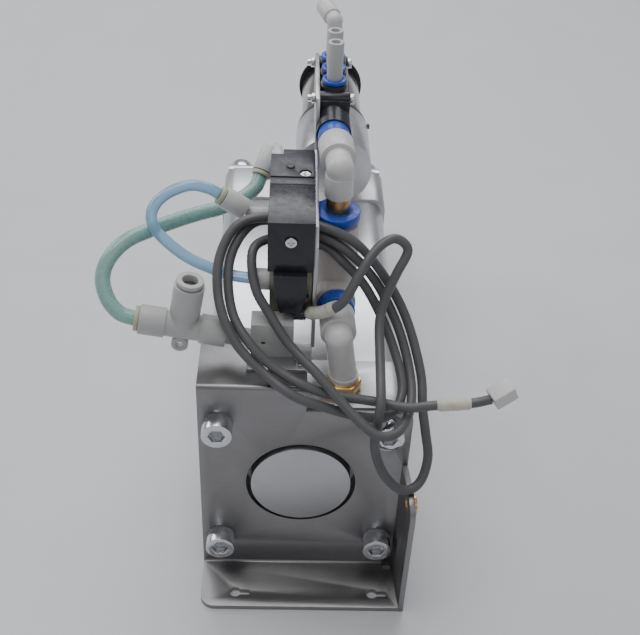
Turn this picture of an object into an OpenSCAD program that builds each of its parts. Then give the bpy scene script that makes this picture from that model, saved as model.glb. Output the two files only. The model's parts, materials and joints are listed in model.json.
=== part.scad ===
// Pneumatic parallel gripper: a 100 mm bore drive cylinder on a bent bracket, a wedge-driven jaw
// head at its far end, a small ejector cylinder on top, and the valve, fittings and lead that feed it.
// X points right, Y along the cylinder away from the bracket and Z up. The origin is on the bracket's
// foot, below the cylinder axis, in the plane of the bracket's front face. Millimetres.

/* [Bracket] */
// Width of the bracket and of the cylinder caps
body_w = 110; // [106:0.5:112]
// Thickness of the bracket sheet
sheet_t = 3; // [2.5:0.1:3.2]
// Height of the cylinder axis above the foot
axis_z = 70; // [69:0.5:72]
// Depth of the foot and of the side flange
foot_d = 32; // [27:1:34]
// Height of the top flange's upper face
flange_z = 140; // [139:0.5:141]
// Height of the low right half of the web
step_z = 124; // [122:0.5:126]
// Depth of the top flange
flange_d = 36; // [34:1:38]

/* [Main cylinder] */
// Piston diameter
bore_d = 100; // [98:0.5:100]
// Outer width of the barrel
barrel_w = 107; // [106:0.5:108]
// Corner radius of the caps
cap_r = 9; // [7:0.5:11]
// Distance between neighbouring corner screws
screw_pitch = 89; // [88:0.5:90]
// Rod diameter
rod_d = 25; // [22:0.5:26]
// Where the rear cap ends
rear_cap_y = 40; // [38:0.5:42]
// Where the front cap starts
front_cap_y = 206; // [204:0.5:208]
// Where the front cap ends
cap_end_y = 244; // [243:0.5:245]

/* [Jaw head] */
// Piston travel that closes the jaws
stroke = 18; // [10:1:18]
// Half the wedge's width at its narrow rear end
wedge_half_w = 17; // [16:0.5:18]
// Sideways travel of a jaw for each millimetre of wedge travel
wedge_slope = 0.5; // [0.45:0.01:0.5]
// Gap between the pads when the jaws are open
pad_gap = 20; // [20:0.5:24]

/* [Ejector] */
// Height of the ejector cylinder's axis
ejector_z = 150; // [149.8:0.1:151]
// Sideways place of the ejector cylinder's axis
ejector_x = 18.5; // [17:0.5:20]
// Diameter of the ejector's rear head
ejector_d = 49.5; // [48:0.5:49.5]

/* [Air and lead] */
// Outer diameter of the supply tube
supply_d = 8; // [7.8:0.1:8]
// Outer diameter of the pilot tube
pilot_d = 6; // [5.8:0.1:6]
// Outer diameter of the electric lead
lead_d = 5; // [4:0.5:5]

/* [Hidden] */
$fn = 48;

half_w = body_w / 2;
half_pitch = screw_pitch / 2;
bracket_x = half_w + 2.5;   // right edge of the bracket
flange_splay = 4.5;          // how far the side flange leans outward, in degrees
flange_top = 86;
clear = 0.05;              // radial clearance between nested still pieces
run = 0.3;                 // clearance between sliding flat faces
barrel_end_gap = 6;        // depth of the caps' spigots in the barrel

// The jaw head
foot_plate_t = 6;
foot_half_w = 53;          // leaves a wall outside the corner screw holes
head_y = cap_end_y + foot_plate_t;
wedge_y = head_y + 7;
wedge_len = 20;
web_h = 9;                 // half heights: wedge web, wedge edge, jaw, tongue
edge_h = 12;
jaw_h = 14.7;
tongue_h = 9.7;
slot_h = 15;
edge_t = 4;                // thickness of the wedge's edge and depth of its undercut
undercut = 5;
cavity_y = head_y + 6;
cavity_end_y = wedge_y + wedge_len + stroke + 1;
housing_end_y = cavity_end_y + 7;
housing_half_w = 48;
cover_t = 2;
jaw_face_y = housing_end_y + 1;
jaw_travel = stroke * wedge_slope;

// Valve group
plate_x = 3.2;             // left face of the valve plate
plate_t = 2;
valve_left_x = -20;
valve_top_z = 220;
valve_body_z = 191;

// Centre lines of the fittings that join the two cylinders
port = [20.5, 17.8, 125];
elbow_low = [17, 18, 159];
union_axis = [15.3, 65.6, 159];
elbow_high = [15.3, 65.6, 230];
manifold_in = [13.5, 95, 229];
manifold_front_y = 102.5;
manifold_ports_y = [131, 146, 161];
manifold_top_z = 246;
manifold_x = 13;

// Tee, with its run tilted down to the right
tee_at = [-63, 26, 158.5];
tee_run = [0.985, 0, -0.17];
tee_branch = [0.17, 0, 0.985];

// Left-hand fittings: centre of each collar's face and the way it points
fit_green = [-26, 106, 200.5];
fit_green_dir = [-0.35, -0.7, -0.62];
fit_blue_top = [-46, 70, 210.5];
fit_blue_top_dir = [-0.83, 0, 0.56];
fit_blue_low = [-29, 42, 178];
fit_blue_low_dir = [-1, 0, 0.05];

supply_route = [[-24, 110, 204], [-26, 106, 200.5], [-29, 100, 196.5], [-36, 92, 194.5], [-46, 84, 193.5],
    [-57, 78, 193.5], [-68, 71, 193.5], [-81, 62, 193], [-93, 53, 191.5], [-101, 45, 186], [-104, 38, 178.5],
    [-101, 31, 170.5], [-95, 27, 165], [-88, 26, 162.8], [-80, 26, 161.4]];
pilot_route = [[-42, 70, 207.8], [-46, 70, 210.5], [-51, 70, 213.5], [-60, 69, 216], [-70, 66, 214], [-77, 62, 210],
    [-80, 58, 204.5], [-78, 54, 199], [-72, 50, 194], [-61, 46, 187], [-48, 43.5, 182], [-38, 42.3, 179.2],
    [-29, 42, 178], [-24, 42, 177.8]];
lead_route = [[0, 30, 165], [8, 25, 170], [18, 23, 178], [27, 32, 191], [35, 41, 199], [44, 46, 202],
    [51, 45, 196], [46, 39, 186], [41, 34, 175], [38, 27, 164], [38, 12, 154], [38, -11, 144],
    [37, -16, 134], [37, -15, 113], [43, -18, 97], [53, -21, 89], [62, -17, 91], [66, -9, 101],
    [64, -3, 114], [62, 4, 125], [61, 18, 137], [53.5, 36, 157], [41.5, 45, 177], [25, 48.5, 196.5],
    [8, 52, 203.8], [-8, 58, 203.5], [-26, 58, 204.5], [-38, 52, 201], [-45, 40, 189], [-44, 26, 174],
    [-36, 13, 160], [-22, 4, 148], [-6, -6, 141], [11, -7, 134], [30, -7, 128], [44, -5, 128],
    [51, 9, 134], [45, 30, 149], [32, 43.5, 171], [18.5, 47.3, 186], [8, 52.8, 191.8], [-8, 56, 194],
    [-21, 54, 194], [-28, 44.5, 192.5], [-26, 31, 180], [-18, 23.7, 168], [-8, 14, 157], [5, 2, 150],
    [19, -10, 140], [31, -20, 133], [40, -23, 130], [49, -17, 130], [55, 0, 131], [55, 18, 138],
    [48.5, 35, 154.5], [36, 45, 175.5], [21.5, 47.5, 191.5], [8, 52.3, 197.8], [-8, 61, 199], [-25, 62, 200],
    [-35, 52, 196], [-40, 40, 185], [-37.5, 25.5, 168.5], [-27.5, 11.5, 158.5], [-15, 5, 149], [0, -2, 144],
    [15, -3, 139], [36, -5, 137], [52, -9, 137], [66, -8, 138], [84, -8, 140], [94, -8, 143]];

// ---------------------------------------------------------------- helpers

// Puts children with their +Z along dir, starting at point p
module aim(p, dir) {
    translate(p)
        rotate([0, acos(dir.z / norm(dir)), atan2(dir.y, dir.x)])
            children();
}

// A solid of revolution from p towards dir, from a list of [radius, length] steps
module stepped(p, dir, steps) {
    aim(p, dir)
        for (i = [0:len(steps) - 1])
            translate([0, 0, sum_to(steps, i)])
                cylinder(r = steps[i][0], h = steps[i][1]);
}
function sum_to(steps, n) = n == 0 ? 0 : steps[n - 1][1] + sum_to(steps, n - 1);

// A cylinder along +Y whose axis passes through [x, z]
module rod_y(x, z, y0, y1, r) {
    translate([x, y0, z])
        rotate([-90, 0, 0])
            cylinder(r = r, h = y1 - y0);
}

// A cylinder along +X whose axis passes through [y, z]
module rod_x(y, z, x0, x1, r) {
    translate([x0, y, z])
        rotate([0, 90, 0])
            cylinder(r = r, h = x1 - x0);
}

// A block between two opposite corners
module block(a, b) {
    translate(a)
        cube(b - a);
}

// A square with round corners, centred on the origin
module round_square(w, r) {
    square([w - 2 * r, w], center = true);
    square([w, w - 2 * r], center = true);
    for (sx = [-1, 1], sy = [-1, 1])
        translate([sx * (w / 2 - r), sy * (w / 2 - r)])
            circle(r = r);
}

// A cylinder cap or barrel blank along Y
module round_bar(w, r, y0, y1) {
    translate([0, y1, axis_z])
        rotate([90, 0, 0])
            linear_extrude(y1 - y0)
                round_square(w, r);
}

// Runs children at the four corner screws
module at_corners(pitch = half_pitch) {
    for (sx = [-1, 1], sz = [-1, 1])
        translate([sx * pitch, 0, axis_z + sz * pitch])
            children();
}

// A socket head screw along +Y with its head's seat at y = 0
module cap_screw_y(d, length, head_d, head_h, key) {
    difference() {
        union() {
            translate([0, -head_h, 0])
                rotate([-90, 0, 0])
                    cylinder(d = head_d, h = head_h);
            rotate([-90, 0, 0])
                cylinder(d = d, h = length);
        }
        translate([0, -head_h - 0.01, 0])
            rotate([-90, 0, 0])
                cylinder(d = key / cos(30), h = head_h * 0.55, $fn = 6);
    }
}

// Prism seen along X: points are [y, z]
module prism_x(points, x0, x1) {
    translate([x0, 0, 0])
        rotate([90, 0, 90])
            linear_extrude(x1 - x0)
                polygon(points);
}

// Prism seen from above, between two heights measured from the cylinder axis
module prism_z(points, z0, z1) {
    translate([0, 0, axis_z + z0])
        linear_extrude(z1 - z0)
            polygon(points);
}

// Round tube swept along a route, as one closed polyhedron
function unit(v) = v / norm(v);
function spline(a, b, c, d, t) = 0.5 * ((2 * b) + (c - a) * t + (2 * a - 5 * b + 4 * c - d) * t * t
    + (3 * b - a - 3 * c + d) * t * t * t);
function smooth_route(p, n) = let (m = len(p)) [for (i = [0:m - 2], j = [0:n - 1])
    spline(i == 0 ? 2 * p[0] - p[1] : p[i - 1], p[i], p[i + 1],
        i == m - 2 ? 2 * p[m - 1] - p[m - 2] : p[i + 2], j / n), p[m - 1]];
function tangents(p) = let (m = len(p)) [for (i = [0:m - 1])
    unit(p[min(i + 1, m - 1)] - p[max(i - 1, 0)])];
function carried(normals, t, i) = i == len(t) ? normals
    : carried(concat(normals, [unit(normals[i - 1] - (normals[i - 1] * t[i]) * t[i])]), t, i + 1);
module swept(route, r, sides, per_span) {
    p = smooth_route(route, per_span);
    t = tangents(p);
    m = len(p);
    seed = unit(cross(t[0], abs(t[0].z) < 0.8 ? [0, 0, 1] : [1, 0, 0]));
    n = carried([seed], t, 1);
    points = [for (i = [0:m - 1], k = [0:sides - 1])
        let (b = cross(t[i], n[i])) p[i] + r * (cos(360 * k / sides) * n[i] + sin(360 * k / sides) * b)];
    walls = [for (i = [0:m - 2], k = [0:sides - 1])
        [i * sides + k, i * sides + (k + 1) % sides, (i + 1) * sides + (k + 1) % sides, (i + 1) * sides + k]];
    ends = [[for (k = [sides - 1:-1:0]) k], [for (k = [0:sides - 1]) (m - 1) * sides + k]];
    polyhedron(points, concat(ends, walls), convexity = 10);
}

// ---------------------------------------------------------------- bracket

bend_r = 2.5;
step_x = 1.5;

// Foot, web and top flange seen along X, with rounded bends
module bracket_profile(top, depth) {
    difference() {
        union() {
            translate([-foot_d, 0])
                square([foot_d + sheet_t, sheet_t]);
            square([sheet_t, top]);
            if (depth > 0)
                translate([0, top - sheet_t])
                    square([depth, sheet_t]);
            translate([-1.5, sheet_t])
                square([1.5, 1.5]);
        }
        difference() {
            translate([sheet_t - bend_r, -1])
                square([bend_r + 1, bend_r + 1]);
            translate([sheet_t - bend_r, bend_r])
                circle(r = bend_r);
            translate([-foot_d, bend_r])
                square([foot_d + sheet_t, 2]);
        }
        if (depth > 0)
            difference() {
                translate([-1, top - bend_r])
                    square([bend_r + 1, bend_r + 1]);
                translate([bend_r, top - bend_r])
                    circle(r = bend_r);
            }
        translate([-1.5, sheet_t + 1.5])
            circle(r = 1.5);
    }
}

module bracket_side(x0, x1, top, depth) {
    translate([x0, 0, 0])
        rotate([90, 0, 90])
            linear_extrude(x1 - x0)
                bracket_profile(top, depth);
}

slot_x = [-35.5, 42.5];
slot_y = -22.5;
slot_len = 7;
// Places children, drawn on the plane x = 0, on the inner face of the splayed side flange
module on_side_flange() {
    translate([bracket_x, 0, 0])
        rotate([0, 0, flange_splay])
            translate([-sheet_t, 0, 0])
                children();
}

module mounting_bracket() {
    color([0.55, 0.54, 0.54])
        difference() {
            union() {
                bracket_side(-half_w, step_x, flange_z, flange_d);
                bracket_side(step_x, bracket_x, step_z, 0);
                // side flange with a round top corner
                on_side_flange()
                    rotate([90, 0, 90])
                        linear_extrude(sheet_t)
                            difference() {
                                translate([-foot_d, 0])
                                    square([foot_d + 1, flange_top]);
                                difference() {
                                    translate([-foot_d - 1, flange_top - 10])
                                        square([11, 11]);
                                    translate([-foot_d + 10, flange_top - 10])
                                        circle(r = 10);
                                }
                            }
            }
            // pilot hole, four screw holes
            rod_y(0, axis_z, -1, sheet_t + 1, 30);
            at_corners()
                translate([0, -1, 0])
                    rotate([-90, 0, 0])
                        cylinder(d = 11, h = sheet_t + 2);
            // keyhole slots in the foot
            for (x = slot_x) {
                translate([x, slot_y, -1])
                    cylinder(d = 6.5, h = sheet_t + 2);
                block([x, slot_y - 1.75, -1], [x + slot_len, slot_y + 1.75, sheet_t + 1]);
                translate([x + slot_len, slot_y, -1])
                    cylinder(d = 3.5, h = sheet_t + 2);
            }
            // round front left corner of the foot
            difference() {
                block([-half_w - 1, -foot_d - 1, -1], [-half_w + 8, -foot_d + 8, sheet_t + 1]);
                translate([-half_w + 8, -foot_d + 8, -2])
                    cylinder(r = 8, h = sheet_t + 4);
            }
            // bend relief between foot, web and side flange
            block([bracket_x - 8, -5, -1], [bracket_x - sheet_t, 0, sheet_t + 1]);
            // round top right corner of the web
            difference() {
                block([bracket_x - 5, -1, step_z - 5], [bracket_x + 1, sheet_t + 1, step_z + 1]);
                rod_y(bracket_x - 5, step_z - 5, -2, sheet_t + 2, 5);
            }
            // hole for the brass insert
            on_side_flange()
                rod_x(insert_y, insert_z, -1, sheet_t + 1, 4);
        }
}

insert_y = -20;
insert_z = 77;
module side_insert() {
    color([0.72, 0.52, 0.25])
        on_side_flange()
            difference() {
                union() {
                    rod_x(insert_y, insert_z, 0, sheet_t, 4 - clear);
                    rod_x(insert_y, insert_z, sheet_t, sheet_t + 2, 5.5);
                }
                rod_x(insert_y, insert_z, -1, sheet_t + 3, 2.5);
            }
}

module bracket_screws() {
    color([0.8, 0.8, 0.82])
        at_corners()
            cap_screw_y(10, 26, 16, 10, 8);
}

// ---------------------------------------------------------------- main cylinder

spigot_r = bore_d / 2 - clear;
tie_d = 8;
screw_hole_y = 30;
boss_r = 27.3;

module rear_cap() {
    color([0.62, 0.62, 0.63])
        difference() {
            union() {
                round_bar(body_w, cap_r, sheet_t, rear_cap_y);
                rod_y(0, axis_z, -1, sheet_t, boss_r);
                rod_y(0, axis_z, rear_cap_y, rear_cap_y + barrel_end_gap, spigot_r);
            }
            rod_y(0, axis_z, 24, 60, 20);
            // groove round the boss
            difference() {
                rod_y(0, axis_z, sheet_t - 1, 14, boss_r + 3.4);
                rod_y(0, axis_z, 0, 15, boss_r);
            }
            at_corners() {
                rotate([-90, 0, 0])
                    cylinder(d = 10.2, h = screw_hole_y);
                translate([0, screw_hole_y + 1, 0])
                    rotate([-90, 0, 0])
                        cylinder(d = tie_d + 0.2, h = 20);
            }
            // air port in the top, and its passage to the bore
            translate([port.x, port.y, axis_z + 18])
                cylinder(d = 8, h = 60);
            translate([port.x, port.y, port.z - 12])
                cylinder(d = 13.2, h = 13);
            rod_y(port.x * 0.75, axis_z + 16, port.y - 2, 26, 3.5);
        }
}

module barrel() {
    color([0.78, 0.79, 0.8])
        difference() {
            round_bar(barrel_w, 12, rear_cap_y, front_cap_y);
            rod_y(0, axis_z, rear_cap_y - 1, front_cap_y + 1, bore_d / 2);
            at_corners()
                translate([0, rear_cap_y - 1, 0])
                    rotate([-90, 0, 0])
                        cylinder(d = tie_d + 0.6, h = front_cap_y - rear_cap_y + 2);
        }
}

module tie_rods() {
    color([0.7, 0.7, 0.72])
        at_corners()
            translate([0, screw_hole_y + 2, 0])
                rotate([-90, 0, 0])
                    cylinder(d = tie_d, h = front_cap_y - screw_hole_y + 6);
}

bush_r = 16;
module front_cap() {
    color([0.66, 0.66, 0.67])
        difference() {
            union() {
                round_bar(body_w, cap_r, front_cap_y, cap_end_y);
                rod_y(0, axis_z, front_cap_y - barrel_end_gap, front_cap_y, spigot_r);
            }
            rod_y(0, axis_z, front_cap_y - 10, cap_end_y + 1, bush_r);
            at_corners() {
                translate([0, front_cap_y - 1, 0])
                    rotate([-90, 0, 0])
                        cylinder(d = tie_d + 0.2, h = 9);
                translate([0, cap_end_y - 20, 0])
                    rotate([-90, 0, 0])
                        cylinder(d = 10.2, h = 21);
            }
        }
}

piston_y = rear_cap_y + barrel_end_gap + 0.5;
piston_end_y = piston_y + 26;
module piston() {
    color([0.72, 0.72, 0.74])
        difference() {
            rod_y(0, axis_z, piston_y, piston_end_y, bore_d / 2 - 0.5);
            rod_y(0, axis_z, piston_y - 1, piston_end_y + 1, rod_d / 2 - 3 + clear);
            for (y = [piston_y + 4, piston_end_y - 8])
                difference() {
                    rod_y(0, axis_z, y, y + 4, bore_d / 2 + 1);
                    rod_y(0, axis_z, y - 1, y + 5, bore_d / 2 - 4);
                }
        }
}

module piston_seals() {
    color([0.08, 0.08, 0.08])
        for (y = [piston_y + 4.1, piston_end_y - 7.9])
            difference() {
                rod_y(0, axis_z, y, y + 3.8, bore_d / 2 - clear);
                rod_y(0, axis_z, y - 1, y + 5, bore_d / 2 - 4 + clear);
            }
}

stop_gap = 1;
module stop_tube() {
    color([0.6, 0.6, 0.62])
        difference() {
            rod_y(0, axis_z, piston_end_y, front_cap_y - barrel_end_gap - stroke - stop_gap, 18.5);
            rod_y(0, axis_z, piston_end_y - 1, front_cap_y, rod_d / 2 + clear);
        }
}

rod_shoulder_y = cavity_y + run + 0.2 - stroke - run;     // stays behind the jaws at full stroke
wiper_end_y = rod_shoulder_y - 2;
neck_r = 7.5;
module piston_rod() {
    color([0.82, 0.82, 0.84]) {
        rod_y(0, axis_z, piston_y, piston_end_y, rod_d / 2 - 3);
        rod_y(0, axis_z, piston_end_y, rod_shoulder_y, rod_d / 2);
        rod_y(0, axis_z, rod_shoulder_y, wedge_y, neck_r);
        rod_y(0, axis_z, wedge_y, wedge_y + 14, 5);
    }
}

module rod_bush() {
    color([0.66, 0.48, 0.26])
        difference() {
            rod_y(0, axis_z, front_cap_y - barrel_end_gap, wiper_end_y - 8, bush_r - clear);
            rod_y(0, axis_z, front_cap_y - 10, cap_end_y, rod_d / 2 + clear);
        }
}

module rod_wiper() {
    color([0.1, 0.1, 0.1])
        difference() {
            rod_y(0, axis_z, wiper_end_y - 8, wiper_end_y, bush_r - clear);
            rod_y(0, axis_z, wiper_end_y - 9, wiper_end_y + 1, rod_d / 2 + clear);
        }
}

// ---------------------------------------------------------------- jaw head

foot_holes = [35, 218];
module support_foot() {
    color([0.5, 0.5, 0.52])
        difference() {
            union() {
                block([-foot_half_w, cap_end_y, 0], [foot_half_w, head_y, axis_z + half_pitch + 9]);
                block([-foot_half_w, cap_end_y - 44, 0], [foot_half_w, cap_end_y + 1, foot_plate_t]);
            }
            rod_y(0, axis_z, cap_end_y - 1, head_y + 1, rod_d / 2 + 2);
            at_corners()
                translate([0, cap_end_y - 1, 0])
                    rotate([-90, 0, 0])
                        cylinder(d = 11, h = foot_plate_t + 2);
            for (sx = [-1, 1])
                translate([sx * foot_holes[0], foot_holes[1], -1])
                    cylinder(d = 9, h = foot_plate_t + 2);
            for (sx = [-1, 1], sz = [-1, 1])
                rod_y(sx * 38, axis_z + sz * 25.5, cap_end_y - 1, head_y + 1, 2.6);
        }
}

module support_screws() {
    color([0.25, 0.25, 0.27])
        at_corners()
            translate([0, head_y, 0])
                rotate([0, 0, 180])
                    cap_screw_y(10, 24, 16, 10, 8);
}

module gripper_housing() {
    color([0.3, 0.32, 0.35])
        difference() {
            union() {
                block([-housing_half_w, head_y, axis_z - 31], [housing_half_w, cavity_y, axis_z + 31]);
                block([-housing_half_w, head_y, axis_z - 19], [housing_half_w, housing_end_y, axis_z + 19]);
            }
            block([-60, cavity_y, axis_z - slot_h], [60, cavity_end_y, axis_z + slot_h]);
            block([-60, cavity_end_y - 1, axis_z - 10], [60, housing_end_y + 1, axis_z + 10]);
            rod_y(0, axis_z, head_y - 1, cavity_y + 1, rod_d / 2 + 1.5);
            for (sx = [-1, 1], sz = [-1, 1])
                rod_y(sx * 38, axis_z + sz * 25.5, head_y - 1, cavity_y + 1, 3.1);
            // screw holes of the side covers
            for (sz = [-1, 1], y = [cavity_y + 6, housing_end_y - 6])
                rod_x(y, axis_z + sz * 17, -60, 60, 1.3);
        }
}

module housing_screws() {
    color([0.2, 0.2, 0.22])
        for (sx = [-1, 1], sz = [-1, 1])
            translate([sx * 38, cavity_y, axis_z + sz * 25.5])
                rotate([0, 0, 180])
                    cap_screw_y(5, 11, 8.5, 5, 4);
}

module side_covers() {
    color([0.45, 0.46, 0.48])
        for (mirrored = [0, 1])
            mirror([mirrored, 0, 0]) {
                block([housing_half_w, cavity_y, axis_z - 19],
                    [housing_half_w + cover_t, housing_end_y, axis_z + 19]);
                for (sz = [-1, 1], y = [cavity_y + 6, housing_end_y - 6]) {
                    rod_x(y, axis_z + sz * 17, housing_half_w + cover_t, housing_half_w + cover_t + 1, 2);
                    rod_x(y, axis_z + sz * 17, housing_half_w - 6, housing_half_w, 1.3 - clear);
                }
            }
}

// Half width of the wedge's edge at a distance y along it, moved by d across
function edge_x(y, d) = wedge_half_w + wedge_slope * (y - wedge_y) + d;

module drive_wedge() {
    y1 = wedge_y + wedge_len;
    color([0.55, 0.55, 0.58])
        difference() {
            union() {
                for (s = [-1, 1]) {
                    prism_z([[0, wedge_y], [s * edge_x(wedge_y, -edge_t), wedge_y],
                        [s * edge_x(y1, -edge_t), y1], [0, y1]], -web_h, web_h);
                    prism_z([[s * edge_x(wedge_y, -edge_t), wedge_y], [s * edge_x(wedge_y, 0), wedge_y],
                        [s * edge_x(y1, 0), y1], [s * edge_x(y1, -edge_t), y1]], -edge_h, edge_h);
                    prism_z([[0, wedge_y], [s * edge_x(wedge_y, -edge_t - undercut), wedge_y],
                        [s * edge_x(y1, -edge_t - undercut), y1], [0, y1]], -edge_h, edge_h);
                }
            }
            rod_y(0, axis_z, wedge_y - 1, wedge_y + 15, 5 + clear);
        }
}

jaw_back_y = cavity_y + run + 0.2;
module base_jaw(s) {
    y1 = cavity_end_y - run;
    outer = housing_half_w - run;
    color([0.68, 0.68, 0.7])
        difference() {
            union() {
                // body outside the wedge's edge
                prism_z([[s * edge_x(jaw_back_y, run), jaw_back_y], [s * outer, jaw_back_y], [s * outer, y1],
                    [s * edge_x(y1, run), y1]], -jaw_h, jaw_h);
                for (u = [-1, 1]) {
                    // bridge over the edge and lip behind it
                    prism_z([[s * edge_x(jaw_back_y, -edge_t - undercut + run), jaw_back_y],
                        [s * edge_x(jaw_back_y, run), jaw_back_y], [s * edge_x(y1, run), y1],
                        [s * edge_x(y1, -edge_t - undercut + run), y1]],
                        u > 0 ? edge_h + run : -jaw_h, u > 0 ? jaw_h : -edge_h - run);
                    prism_z([[s * edge_x(jaw_back_y, -edge_t - undercut + run), jaw_back_y],
                        [s * edge_x(jaw_back_y, -edge_t - run), jaw_back_y],
                        [s * edge_x(y1, -edge_t - run), y1], [s * edge_x(y1, -edge_t - undercut + run), y1]],
                        u > 0 ? web_h + run : -jaw_h, u > 0 ? jaw_h : -web_h - run);
                }
                // tongue through the front slot
                block([s > 0 ? 15 : -outer, y1 - 0.7, axis_z - tongue_h],
                    [s > 0 ? outer : -15, jaw_face_y, axis_z + tongue_h]);
            }
            // room between the jaws when they are closed
            block([-jaw_travel - run, jaw_back_y - 1, 0], [jaw_travel + run, jaw_face_y + 1, axis_z * 2]);
            // tapped holes for the finger screws
            for (x = finger_screw_x)
                rod_y(s * x, axis_z, jaw_face_y - 12, jaw_face_y + 1, 2.6);
        }
}
module base_jaw_left() { base_jaw(-1); }
module base_jaw_right() { base_jaw(1); }

finger_screw_x = [20, 43];
finger_t = 10;
finger_len = 66;
finger_y = jaw_face_y + finger_t;
arm_in = pad_gap / 2 + 6;
arm_z = [22, 48];
module finger(s) {
    inner = s > 0 ? 14 : -46;
    outer = s > 0 ? 46 : -14;
    color([0.74, 0.75, 0.77])
        difference() {
            union() {
                block([inner, jaw_face_y, arm_z[0]], [outer, finger_y, axis_z + 11]);
                block([s > 0 ? arm_in : -arm_in - 13, finger_y - 1, arm_z[0]],
                    [s > 0 ? arm_in + 13 : -arm_in, jaw_face_y + finger_len, arm_z[1]]);
                // rib from root to arm
                prism_x([[finger_y - 1, arm_z[1] - 1], [finger_y + 18, arm_z[1] - 1],
                    [finger_y - 1, axis_z - 4]], s > 0 ? arm_in + 3 : -arm_in - 10, s > 0 ? arm_in + 10 : -arm_in - 3);
            }
            for (x = finger_screw_x)
                rod_y(s * x, axis_z, jaw_face_y - 1, finger_y + 1, 2.75);
            // tool holes in the arm's outer side
            for (y = [finger_y + 22, finger_y + 40])
                rod_x(y, 35, s > 0 ? arm_in - 1 : -arm_in - 14, s > 0 ? arm_in + 14 : -arm_in + 1, 2.5);
        }
}
module finger_left() { finger(-1); }
module finger_right() { finger(1); }

module finger_screws(s) {
    color([0.25, 0.25, 0.27])
        for (x = finger_screw_x)
            translate([s * x, finger_y, axis_z])
                rotate([0, 0, 180])
                    cap_screw_y(5, 18, 8.5, 5, 4);
}
module finger_screws_left() { finger_screws(-1); }
module finger_screws_right() { finger_screws(1); }

pad_y = [finger_y + 14, jaw_face_y + finger_len - 2];
pad_t = 6;
module finger_pad(s) {
    color([0.12, 0.12, 0.13])
        difference() {
            block([s > 0 ? arm_in - pad_t : -arm_in, pad_y[0], arm_z[0] + 2],
                [s > 0 ? arm_in : -arm_in + pad_t, pad_y[1], arm_z[1] - 2]);
            for (y = [pad_y[0] + 5:6:pad_y[1] - 4])
                block([s > 0 ? arm_in - pad_t - 1 : -arm_in + pad_t - 1.2, y, arm_z[0]],
                    [s > 0 ? arm_in - pad_t + 1.2 : -arm_in + pad_t + 1, y + 1.6, arm_z[1]]);
        }
}
module finger_pad_left() { finger_pad(-1); }
module finger_pad_right() { finger_pad(1); }

// ---------------------------------------------------------------- ejector cylinder

ejector_y = [200, 248, 254, 323, 326.5];
ejector_bore = 19;
ejector_rod_r = 5;
module ejector_bar(y0, y1, r) { rod_y(ejector_x, ejector_z, y0, y1, r); }

module ejector_rear_head() {
    color([0.7, 0.71, 0.72])
        difference() {
            union() {
                ejector_bar(ejector_y[0], ejector_y[1], ejector_d / 2);
                // saddle down to the front cap
                block([ejector_x - 9, front_cap_y + 2, axis_z + half_w], [ejector_x + 9, cap_end_y - 2, ejector_z - 15]);
            }
            ejector_bar(ejector_y[0] + 12, ejector_y[1] + 1, ejector_bore);
        }
}

module ejector_band() {
    color([0.5, 0.5, 0.52])
        difference() {
            union() {
                ejector_bar(ejector_y[1], ejector_y[2], ejector_d / 2 - 0.6);
                rod_x((ejector_y[1] + ejector_y[2]) / 2, ejector_z + 6, ejector_x + 22, ejector_x + 25.4, 1.8);
            }
            ejector_bar(ejector_y[1] - 1, ejector_y[2] + 1, 20.8);
        }
}

module ejector_tube() {
    color([0.72, 0.7, 0.68])
        difference() {
            ejector_bar(ejector_y[1], ejector_y[3], 20.75);
            ejector_bar(ejector_y[1] - 1, ejector_y[3] + 1, ejector_bore);
        }
}

module ejector_front_head() {
    color([0.2, 0.2, 0.22])
        difference() {
            ejector_bar(ejector_y[3], ejector_y[4], 23);
            ejector_bar(ejector_y[3] - 1, ejector_y[4] + 1, ejector_rod_r + clear);
        }
}

module ejector_piston() {
    color([0.6, 0.6, 0.62])
        difference() {
            ejector_bar(ejector_y[1] + 2, ejector_y[1] + 20, ejector_bore - clear);
            ejector_bar(ejector_y[1] - 1, ejector_y[1] + 21, 4 + clear);
        }
}

pusher_y = ejector_y[4] + 6;
module ejector_rod() {
    color([0.82, 0.82, 0.84]) {
        ejector_bar(ejector_y[1] + 2, ejector_y[1] + 20, 4);
        ejector_bar(ejector_y[1] + 20, pusher_y, ejector_rod_r);
        ejector_bar(pusher_y, pusher_y + 12, 3);
        ejector_bar(pusher_y + 4, pusher_y + 8, 5.5);
    }
}

module pusher_plate() {
    color([0.6, 0.6, 0.62])
        difference() {
            translate([0, pusher_y + 4, 0])
                rotate([90, 0, 0])
                    linear_extrude(4)
                        polygon([[ejector_x - 11, 158], [ejector_x + 11, 158], [ejector_x + 11, 70],
                            [12, 54], [-12, 54], [-12, 66], [ejector_x - 11, 78]]);
            ejector_bar(pusher_y - 1, pusher_y + 5, 3 + clear);
        }
}

// ---------------------------------------------------------------- valve group

window = [50, 66];
module valve_plate() {
    color([0.8, 0.8, 0.82])
        difference() {
            union() {
                prism_x([[33, flange_z], [window[0], flange_z], [window[0], 207.5], [100, 207.5],
                    [112, 218], [172, 218], [172, 244], [114, 244], [104, 219], [80, 214],
                    [66, 212], [40, 212], [33, 204]], plate_x, plate_x + plate_t);
                // foot on the bracket's top flange
                block([-30, 12, flange_z], [plate_x + 0.5, 34, flange_z + 2]);
            }
            for (y = manifold_clamp_y)
                rod_x(y, manifold_clamp_z, plate_x - 1, plate_x + plate_t + 1, 2);
            // relief beside the manifold's round front
            rod_y(manifold_x, manifold_in.z, 90, 119.6, 9.4 + clear);
        }
}

module valve_body() {
    color([0.5, 0.5, 0.46])
        difference() {
            block([valve_left_x + 1, 34, 160], [plate_x, window[0] - 1, valve_body_z]);
            rod_y(-0.5, 173, 30, 46, 1.6);
            rod_x(42, 178, valve_left_x, -8, 3.5);
        }
}

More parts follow.
